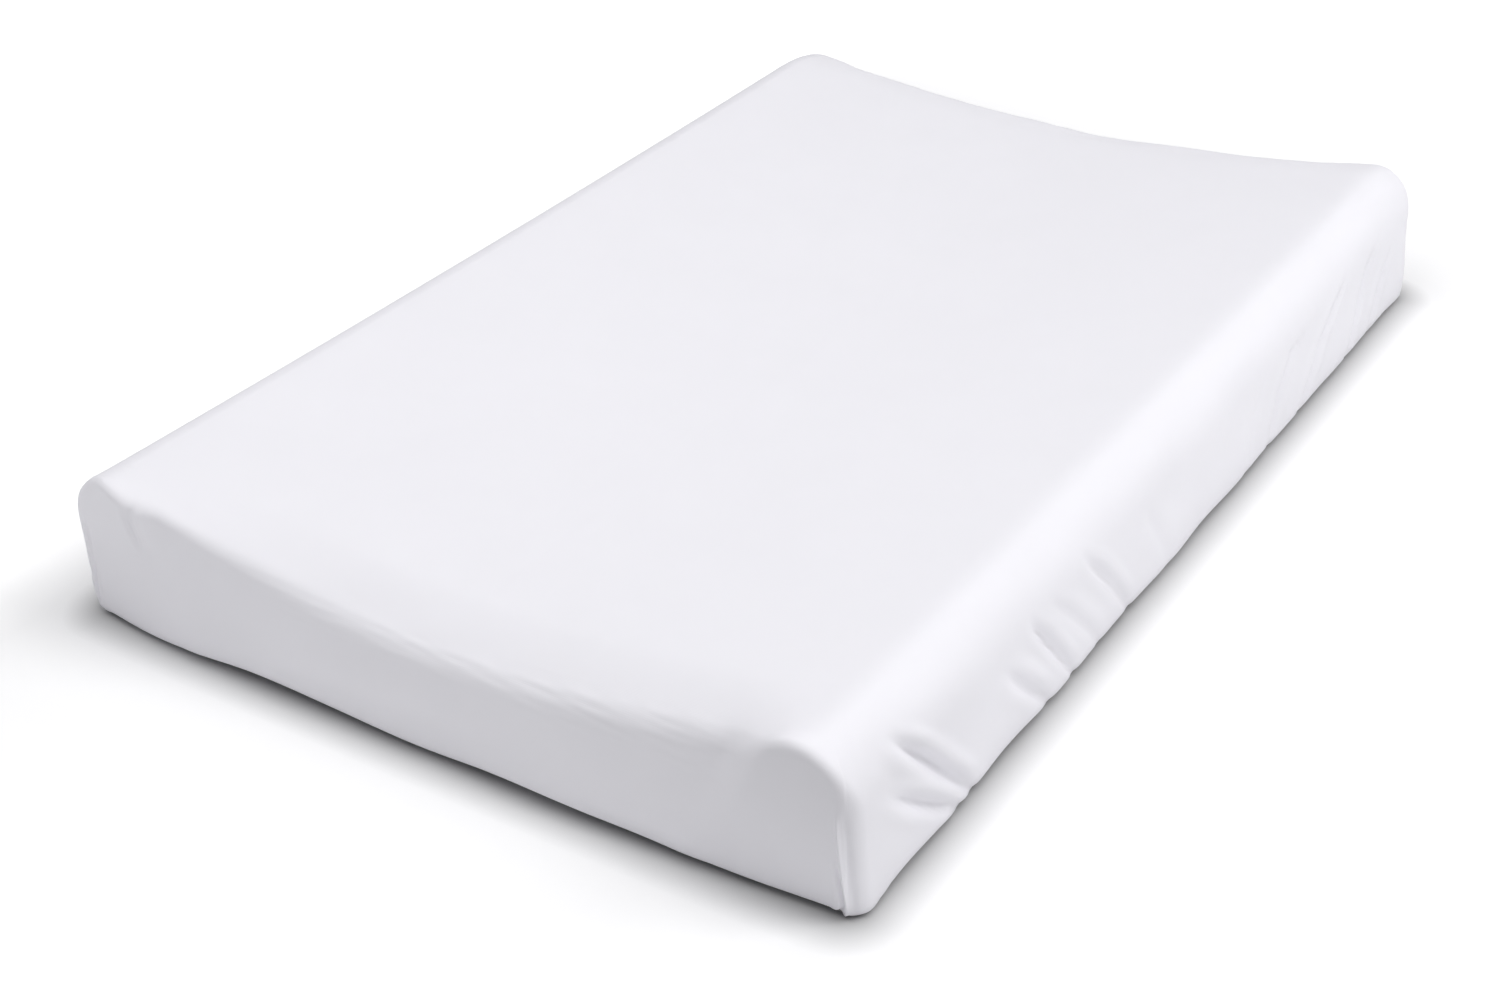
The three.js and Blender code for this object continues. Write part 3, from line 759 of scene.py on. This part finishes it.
# ---------------------------------------------------------------- fitted sheet
HEM_HALF = (HALF_W - HEM_INSET, HALF_L - HEM_INSET)
outer_shell = Shell(0.0, UNDERSIDE, (HEM_HALF[0] - 1, HEM_HALF[1] - 1), HEM_CORNER - 1)
total = path_length(outer_shell.paths)[:, -1]
mid_wall = outer_shell.length_at(outer_shell.paths[:, :, 2] - 40.0)
floor_line = outer_shell.length_at(outer_shell.paths[:, :, 2] - (UNDERSIDE + SKIM))
sheet = skin("fitted_sheet_cloth", outer_shell, [mid_wall, floor_line, total], [24, 15, 11],
             SHEET_THICKNESS, sheet_outer_relief)
finish_piece(sheet, "jersey", "fitted_sheet", "corner_seam_front_left", "corner_seam_front_right",
             "corner_seam_rear_left", "corner_seam_rear_right")

# ---------------------------------------------------------------- casing
CASING_DEPTH, CASING_THICKNESS = 2.2, 0.9
casing_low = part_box("casing_base_left")[0].z / MM
TOP_SEAM_DROP, BASE_SEAM = 30.0, 12.0
SEAM_GAP = 0.3  # from a seam to the panel either side of it
SLOT_HALF = (7.0, 274.0)
casing_shell = Shell(CASING_DEPTH, casing_low, SLOT_HALF, 0.5, coarse=1.5)
paths = casing_shell.paths
casing_seam = casing_shell.length_at(
    paths[:, :, 2] - (top_height(paths[:, :, 0], 0 * paths[:, :, 1]) - TOP_SEAM_DROP)
)
casing_base_seam = casing_shell.length_at(paths[:, :, 2] - BASE_SEAM)
casing_floor = casing_shell.length_at(paths[:, :, 2] - (casing_low + SKIM))
casing_total = path_length(paths)[:, -1]


def seam_groove(to_edge):
    """A panel is drawn in at its seam and stands up just inside it."""
    return -0.45 * bell(to_edge, 2.2) + 0.35 * bell(to_edge - 5, 3.0)


casing_top = skin("casing_top_cloth", casing_shell, [casing_seam - SEAM_GAP], [18], CASING_THICKNESS)
finish_piece(casing_top, "casing_cloth", "casing_top_panel")
boxing, _ = casing_shell.rows([casing_seam + SEAM_GAP, casing_base_seam - SEAM_GAP], [14])
nx, ny, around = casing_shell.nx, casing_shell.ny, casing_shell.count
side_a = casing_shell.along[nx:nx + ny]
END_WRAP = 26.0
cut = int(np.searchsorted(side_a, side_a[0] + END_WRAP))
for name, first, last in (
    ("side_right", nx + cut, nx + ny - cut), ("side_left", 2 * nx + ny + cut, around - cut),
    ("end_front", -cut, nx + cut), ("end_rear", nx + ny - cut, 2 * nx + ny + cut),
):
    columns = boxing[np.arange(first, last + 1) % around].copy()
    ob = panel(f"casing_{name}_cloth", columns, CASING_THICKNESS, seam_groove)
    finish_piece(ob, "casing_cloth", f"casing_{name}")
base, _ = casing_shell.rows([casing_base_seam + SEAM_GAP, casing_floor, casing_total], [6, 26])
for name, first in (("right", nx // 2), ("left", nx + ny + nx // 2)):
    columns = base[np.arange(first, first + nx + ny + 1) % around].copy()
    ob = panel(f"casing_base_{name}_cloth", columns, CASING_THICKNESS, seam_groove)
    finish_piece(ob, "casing_cloth", f"casing_base_{name}")


# ---------------------------------------------------------------- foam
FOAM_DEPTH = 3.6
FOAM_FLOOR = casing_low + CASING_THICKNESS + 0.4


def foam_piece(name, node, slot, voxel, grain, seed):
    """A block of foam grown from the CAD solid: softened edges and the fine pitting of a cut face."""
    ob = bpy.data.objects.new(name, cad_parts[node].data.copy())
    bpy.context.scene.collection.objects.link(ob)
    remesh = ob.modifiers.new("cells", "REMESH")
    remesh.mode = "VOXEL"
    remesh.voxel_size = voxel * MM
    soften = ob.modifiers.new("soften", "SMOOTH")
    soften.factor, soften.iterations = 0.5, 4
    dg = bpy.context.evaluated_depsgraph_get()
    new = bpy.data.meshes.new_from_object(ob.evaluated_get(dg))
    ob.modifiers.clear()
    ob.data = new
    new.name = name
    count = len(new.vertices)
    co = np.empty(count * 3, np.float32)
    new.vertices.foreach_get("co", co)
    co = co.reshape(-1, 3).astype(float) / MM
    normal = np.empty(count * 3, np.float32)
    new.vertices.foreach_get("normal", normal)
    rng = np.random.default_rng(seed)
    co += normal.reshape(-1, 3) * rng.normal(0, grain, count)[:, None]
    # What would stand out of the casing is moved back on to its inner face.
    for _ in range(3):
        out = pad_field(co, FOAM_DEPTH, FOAM_FLOOR) > 0
        if not out.any():
            break
        co[out] = project(co[out], FOAM_DEPTH, FOAM_FLOOR, steps=1)
    new.vertices.foreach_set("co", (co * MM).astype(np.float32).ravel())
    new.update()
    new.polygons.foreach_set("use_smooth", np.ones(len(new.polygons), bool))
    finish_piece(ob, slot, node)


foam_piece("memory_foam_block", "memory_foam_layer", "memory_foam", 4.5, 0.10, 3)
foam_piece("foam_base_block", "foam_base", "firm_foam", 4.5, 0.16, 4)
foam_piece("foam_wedge_left_block", "foam_wedge_left", "firm_foam", 3.5, 0.14, 5)
foam_piece("foam_wedge_right_block", "foam_wedge_right", "firm_foam", 3.5, 0.14, 6)


# ---------------------------------------------------------------- hem, elastic and label
def hem_path(count):
    """Points, outward directions and lengths along the hem's rounded rectangle, anticlockwise from above."""
    half_x, half_y, r = *HEM_HALF, HEM_CORNER
    straight_x, straight_y, quarter = 2 * (half_x - r), 2 * (half_y - r), math.pi / 2 * r
    around = 2 * (straight_x + straight_y) + 4 * quarter
    s = np.arange(count) * around / count
    points, ways = np.empty((count, 2)), np.empty((count, 2))
    pieces = []
    for turn, straight in enumerate((straight_x, straight_y, straight_x, straight_y)):
        pieces += [("line", turn, straight), ("arc", turn, quarter)]
    at = 0.0
    for kind, turn, size in pieces:
        mine = (s >= at - 1e-9) & (s < at + size)
        t = s[mine] - at
        angle = turn * math.pi / 2
        c, d = math.cos(angle), math.sin(angle)
        across, along = (half_y, half_x) if turn % 2 == 0 else (half_x, half_y)
        if kind == "line":
            a, b, w = t - (along - r), np.full_like(t, across), np.zeros_like(t)
        else:
            w = t / r
            a, b = (along - r) + r * np.sin(w), across - r * (1 - np.cos(w))
        # In this side's own frame, a runs along it and b points outwards, which is -Y for the first side.
        points[mine] = np.stack([a * c + b * d, a * d - b * c], 1)
        wa, wb = np.sin(w), np.cos(w)
        ways[mine] = np.stack([wa * c + wb * d, wa * d - wb * c], 1)
        at += size
    return points, ways, s


def band(name, count, section, wobble=None):
    """A closed band round the hem. section is a list of (outward, height) points, anticlockwise seen
    along it."""
    points, ways, s = hem_path(count)
    section = np.array(section, float)
    n = len(section)
    outward, height = np.repeat(section[None, :, 0], count, 0), np.repeat(section[None, :, 1], count, 0)
    if wobble:
        outward, height = wobble(s[:, None], outward, height)
    xyz = np.concatenate([points[:, None] + ways[:, None] * outward[..., None], height[..., None]], 2)
    index = np.arange(count * n).reshape(count, n)
    onward = np.roll(index, -1, 0)
    faces = np.stack([index, np.roll(index, -1, 1), np.roll(onward, -1, 1), onward], -1).reshape(-1, 4)
    return mesh_object(name, xyz.reshape(-1, 3), [faces])


HEM_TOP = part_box("hem_binding")[1].z / MM
HEM_SKIN = 0.05  # lowest line of the binding


def gathered(s, outward, height):
    """Drawn up by the elastic: the band ripples in and out and is squeezed thinner."""
    ripple = np.sin(2 * math.pi * s / 8.9 + 1.5 * np.sin(2 * math.pi * s / 173))
    swell = np.sin(2 * math.pi * s / 31 + 2.0 * np.sin(2 * math.pi * s / 240))
    outward = outward + (0.28 * ripple + 0.3 * swell) * (1 + 0.1 * outward)
    middle = HEM_TOP / 2
    squeeze = 0.20 * (1 + ripple)
    raised = height + squeeze * (1 - height / middle)
    lowered = height - squeeze * (height / middle - 1) * 0.6
    return outward, np.where(height < middle, raised, lowered)


# Folded binding: open outwards, where the sheet's edge goes in.
fold_section = [
    (7.0, 0.05), (7.1, 0.35), (6.8, 0.62), (2, 0.66), (-3, 0.66), (-5.6, 0.75), (-6.15, 1.25),
    (-6.2, 1.75), (-6.15, 2.25), (-5.6, 2.7), (-3, 2.76), (2, 2.76), (6.8, 2.8), (7.1, 3.05),
    (6.95, 3.35), (3, 3.4), (-2, 3.4), (-5, 3.4), (-6.4, 3.1), (-6.95, 2.4), (-7.0, 1.7),
    (-6.95, 1.0), (-6.4, 0.35), (-5, 0.05), (-2, 0.05), (3, 0.05),
]
binding = band("hem_binding_cloth", 900, fold_section[::-1], gathered)
finish_piece(binding, "binding", "hem_binding")
elastic_low, elastic_high = (np.array(c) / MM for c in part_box("hem_elastic"))
ELASTIC_WIDTH, RIB, RIBS = 4.0, 0.18, 8
e_out = elastic_high[0] - HEM_HALF[0]
e_in = e_out - ELASTIC_WIDTH
steps = [(ELASTIC_WIDTH * k / RIBS, RIB if k % 2 else 0.0) for k in range(RIBS + 1)]
ribs = [(e_in + along, elastic_high[2] - dip) for along, dip in steps]
ribs += [(e_out - along, elastic_low[2] + dip) for along, dip in steps]
elastic = band("hem_elastic_band", 500, ribs)
finish_piece(elastic, "elastic", "hem_elastic")


def stitches(name, centres, directions, ups, length, thick, slot):
    """A row of stitches, each a short thread that dips into the cloth at both ends."""
    count = len(centres)
    shares = np.array([-1.0, -0.72, -0.3, 0.3, 0.72, 1.0]) * length / 2
    lift = np.array([-0.9, 0.15, 0.55, 0.55, 0.15, -0.9]) * thick
    fat = np.array([0.5, 0.95, 1.0, 1.0, 0.95, 0.5]) * thick / 2
    sides = np.cross(ups, directions)
    angles = np.arange(6) * math.pi / 3
    xyz = np.empty((count, 6, 6, 3))
    for r in range(6):
        middle = centres + directions * shares[r] + ups * lift[r]
        for q, angle in enumerate(angles):
            xyz[:, r, q] = middle + fat[r] * (sides * math.cos(angle) + ups * math.sin(angle))
    base = (np.arange(count) * 36)[:, None]
    quads = []
    for r in range(5):
        for q in range(6):
            a, b = r * 6 + q, r * 6 + (q + 1) % 6
            quads.append(np.array([a, a + 6, b + 6, b]))
    quads = (base[:, None] + np.array(quads)[None]).reshape(-1, 4)
    caps = (base[:, None] + np.array([[0, 1, 2, 3, 4, 5], [35, 34, 33, 32, 31, 30]])[None]).reshape(-1, 6)
    ob = mesh_object(name, xyz.reshape(-1, 3), [quads, caps])
    finish_piece(ob, slot)
    return ob


STITCH_PITCH, STITCH_LENGTH, STITCH_THICK = 3.0, 2.3, 0.34
STITCH_LIFT = 0.03
around_hem = 2 * (2 * (HEM_HALF[0] - HEM_CORNER) + 2 * (HEM_HALF[1] - HEM_CORNER)) + 2 * math.pi * HEM_CORNER


def hem_stitch_row(outward):
    """Places, directions and ups of a row of stitches along the underside of the binding."""
    count = int(around_hem / STITCH_PITCH)
    points, ways, s = hem_path(count)
    outs, heights = gathered(s[:, None], np.full((count, 1), outward), np.full((count, 1), HEM_SKIN))
    centre = np.concatenate([points + ways * outs, heights], 1)
    direction = np.roll(centre, -1, 0) - np.roll(centre, 1, 0)
    direction /= np.linalg.norm(direction, axis=1)[:, None]
    centre[:, 2] += STITCH_LIFT
    return centre, direction, np.repeat([[0, 0, -1.0]], count, 0)


rows = [hem_stitch_row(outward) for outward in (4.6, -0.4)]
centres, directions, ups = (np.concatenate([r[i] for r in rows]) for i in range(3))
hem_stitching = stitches("hem_stitching", centres, directions, ups, STITCH_LENGTH, STITCH_THICK, "binding")

label_low, label_high = (np.array(c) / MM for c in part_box("care_label"))
u, v = np.meshgrid(np.linspace(0, 1, 34), np.linspace(0, 1, 24), indexing="ij")
label_x = label_high[0] - (label_high[0] - label_low[0]) * v
label_y = label_low[1] + (label_high[1] - label_low[1]) * u
LABEL_THICKNESS = 0.25
curl = 0.9 * smooth(0.05, 0.6, v) * (0.7 + 0.3 * np.sin(3.0 * u + 0.6))
label_z = 1.5 + curl + 0.22 * np.sin(6.5 * v + 2.2 * u)
label = panel("care_label_tape", np.stack([label_x, label_y, label_z], -1)[::-1], LABEL_THICKNESS)
finish_piece(label, "label", "care_label")


# ---------------------------------------------------------------- zip
TAPE_THICKNESS = 0.5
TAPE_CELLS = (220, 14)


def zip_tape(side, name):
    """One woven tape, which lies nearly flat."""
    low, high = (np.array(c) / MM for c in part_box(f"zip_tape_{name}"))
    across = np.linspace(0, 1, TAPE_CELLS[1])
    y = np.linspace(low[1], high[1], TAPE_CELLS[0])
    inner_x = min(abs(low[0]), abs(high[0])) * side
    outer_x = max(abs(low[0]), abs(high[0])) * side
    grid = np.empty((*TAPE_CELLS, 3))
    grid[..., 0] = (inner_x + (outer_x - inner_x) * across)[None]
    grid[..., 1] = y[:, None]
    grid[..., 2] = low[2] + 0.04 + 0.03 * np.sin(y / 9.0)[:, None]
    if side > 0:
        grid = grid[::-1]
    ob = panel(f"zip_tape_{name}_cloth", grid, TAPE_THICKNESS)
    return finish_piece(ob, "zip_tape", f"zip_tape_{name}")


def zip_coil(side, name):
    """A wound nylon row, with a head at the middle of each turn that meets the other row."""
    low, high = (np.array(c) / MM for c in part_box(f"zip_coil_{name}"))
    pitch, steps, wire = 1.5, 14, 0.30
    turns = int((high[1] - low[1]) / pitch) - 1
    t = np.arange(turns * steps + 1) / steps
    shift = 0.0 if side > 0 else 0.5
    y = low[1] + pitch * (t + 0.25 + shift)
    angle = 2 * math.pi * t
    reach = max(abs(low[0]), abs(high[0]))
    middle, half = (reach + 0.1) / 2, (reach - 0.1) / 2 - wire * 0.6
    height, rise = (low[2] + high[2]) / 2, (high[2] - low[2]) / 2 - wire
    x = side * (middle - half * np.cos(angle))
    z = height + rise * np.sin(angle)
    line = np.stack([x, y, z], 1)
    direction = np.gradient(line, axis=0)
    direction /= np.linalg.norm(direction, axis=1)[:, None]
    out = np.stack([-side * np.cos(angle) * half, np.zeros_like(t), rise * np.sin(angle)], 1)
    out /= np.linalg.norm(out, axis=1)[:, None]
    out -= direction * (out * direction).sum(1)[:, None]
    out /= np.linalg.norm(out, axis=1)[:, None]
    other = np.cross(direction, out)
    sides = 6
    ring = np.arange(sides) * 2 * math.pi / sides
    fat = wire * (1 + 0.25 * np.maximum(np.cos(angle), 0) ** 6)
    xyz = line[:, None] + fat[:, None, None] * (
        out[:, None] * np.cos(ring)[None, :, None] + other[:, None] * np.sin(ring)[None, :, None]
    )
    n, k = len(line), np.arange(sides)
    i = np.arange(n - 1)[:, None]
    faces = np.stack([i * sides + k, i * sides + (k + 1) % sides, (i + 1) * sides + (k + 1) % sides,
                      (i + 1) * sides + k], -1).reshape(-1, 4)
    caps = np.array([k[::-1], (n - 1) * sides + k])
    ob = mesh_object(f"zip_coil_{name}_row", xyz.reshape(-1, 3), [faces, caps])
    return finish_piece(ob, "zip_nylon", f"zip_coil_{name}")


WORN_WIDTH = 0.00012  # metres, as a modifier takes it
for side, name in ((1, "right"), (-1, "left")):
    zip_tape(side, name)
    zip_coil(side, name)
for node in ("zip_stop_front_left", "zip_stop_front_right", "zip_stop_rear", "zip_slider", "zip_pull"):
    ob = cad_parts[node]
    for index in range(max(len(ob.data.materials), 1)):
        if len(ob.data.materials) <= index:
            ob.data.materials.append(materials["zip_metal"])
        ob.data.materials[index] = materials["zip_metal"]
    bevel = ob.modifiers.new("worn_edges", "BEVEL")
    bevel.width = WORN_WIDTH
    bevel.segments = 2
    bevel.limit_method = "ANGLE"
    bevel.angle_limit = math.radians(35)


# ---------------------------------------------------------------- studio
# The floor's sizes are in metres, as its material works in them.
FOOT_HALF_W, FOOT_HALF_L = 0.250, 0.372
FOOT_BOW, FOOT_CORNER = 0.05, 0.012
FLOOR_SIZE = 12
WORLD_STRENGTH = 0.22


def one_sided_floor():
    """White floor, which from underneath isn't there, so the pad's underside can be looked at."""
    n = Nodes("studio_floor")
    n.set(Base_Color=(1, 1, 1, 1), Roughness=0.9, Emission_Color=(1, 1, 1, 1))
    # Distance from the pad's foot, whose ends bow and whose corners are round.
    past_side = n.math("SUBTRACT", n.math("ABSOLUTE", n.x), FOOT_HALF_W - FOOT_CORNER)
    bow = n.math("MULTIPLY_ADD", n.math("MULTIPLY", n.x, n.x), FOOT_BOW, n.math("ABSOLUTE", n.y))
    past_end = n.math("SUBTRACT", bow, FOOT_HALF_L - FOOT_CORNER)
    outer = n.math("ADD", n.math("POWER", n.math("MAXIMUM", past_side, 0.0), 2.0),
                   n.math("POWER", n.math("MAXIMUM", past_end, 0.0), 2.0))
    inner = n.math("MINIMUM", n.math("MAXIMUM", past_side, past_end), 0.0)
    away = n.math("SUBTRACT", n.math("ADD", n.math("SQRT", outer), inner), FOOT_CORNER)
    # The floor glows outwards and to the left, where the picture's floor is white. Hidden beneath the pad it
    # glows too, so that the underside is lit when it is looked at from below.
    glow = n.math("ADD", n.ramp(away, 0.03, 0.20, 0.0, 0.13), n.ramp(away, -0.013, -0.006, 0.80, 0.0))
    glow = n.math("ADD", glow, n.ramp(n.x, -0.36, -0.275, 0.30, 0.0))
    glow = n.math("ADD", glow, n.ramp(away, 0.16, 0.40, 0.0, 0.25))
    n.tree.links.new(glow, n.shader.inputs["Emission Strength"])
    # Painted shade: the floor's colour darkens in the foreground just below the frame, as a flag's shadow
    # would, which keeps the near corner from flat light.
    front = n.math("MULTIPLY_ADD", n.x, 0.563, n.math("MULTIPLY", n.y, -0.826))
    flag_shade = n.ramp(front, 0.505, 0.66, 1.0, 0.12)
    # Painted contact shadow: the floor's colour darkens to a dark line where the pad meets the floor.
    contact_shadow = n.math("POWER", n.ramp(away, -0.007, 0.024, 0.0, 1.0), 0.5)
    n.tree.links.new(n.math("MULTIPLY", flag_shade, contact_shadow), n.shader.inputs["Base Color"])
    behind = n.add("ShaderNodeNewGeometry").outputs["Backfacing"]
    clear = n.add("ShaderNodeBsdfTransparent").outputs[0]
    mixed = n.add("ShaderNodeMixShader", {0: behind, 1: n.shader.outputs[0], 2: clear}).outputs[0]
    n.tree.links.new(mixed, n.tree.nodes["Material Output"].inputs["Surface"])
    return n.mat


bpy.ops.mesh.primitive_plane_add(size=FLOOR_SIZE, location=(0, 0, 0))
floor = bpy.context.object
floor.name = "studio_floor"
floor.data.materials.append(one_sided_floor())

world = bpy.data.worlds.new("studio")
bpy.context.scene.world = world
world.use_nodes = True
world.node_tree.nodes["Background"].inputs["Color"].default_value = (0.985, 0.98, 1.03, 1)
world.node_tree.nodes["Background"].inputs["Strength"].default_value = WORLD_STRENGTH


def softbox(name, direction, distance, size, strength):
    """A round area light that gives `strength` of light on a surface facing it at the origin."""
    direction = Vector(direction).normalized()
    light = bpy.data.lights.new(name, "AREA")
    light.shape = "DISK"
    light.size = size
    radius = size / 2
    share = radius**2 / (radius**2 + distance**2)
    # Radiance of a Blender area light is its power over pi times its area.
    light.energy = strength * math.pi / share * math.pi * radius**2
    ob = bpy.data.objects.new(name, light)
    bpy.context.scene.collection.objects.link(ob)
    ob.location = direction * distance
    ob.rotation_mode = "QUATERNION"
    ob.rotation_quaternion = direction.to_track_quat("Z", "Y")


softbox("overhead", (0.05, -0.17, 0.98), 2.2, 2.6, 0.54)
softbox("window", (0.70, 0.21, 0.70), 2.8, 1.6, 0.325)

# Camera at the picture's viewing angle.
AZIMUTH, ELEVATION, ROLL = (math.radians(v) for v in (34.267, 32.0404, -2.1523))
TARGET, DISTANCE = Vector((0.00655, -0.08385, 0)), 1.32415
FOCAL_LENGTH = 52.838
back = Vector((
    math.sin(AZIMUTH) * math.cos(ELEVATION), -math.cos(AZIMUTH) * math.cos(ELEVATION), math.sin(ELEVATION),
))
level = (-back).cross(Vector((0, 0, 1))).normalized()
upright = level.cross(-back)
right = level * math.cos(ROLL) + upright * math.sin(ROLL)
up = upright * math.cos(ROLL) - level * math.sin(ROLL)
lens = bpy.data.cameras.new("camera")
lens.sensor_width = 36
lens.lens = FOCAL_LENGTH
lens.clip_start, lens.clip_end = 0.05, 50
camera = bpy.data.objects.new("camera", lens)
bpy.context.scene.collection.objects.link(camera)
facing = Matrix((right, up, back)).transposed().to_4x4()
camera.matrix_world = Matrix.Translation(TARGET + back * DISTANCE) @ facing
bpy.context.scene.camera = camera
bpy.context.scene.view_settings.view_transform = "Standard"
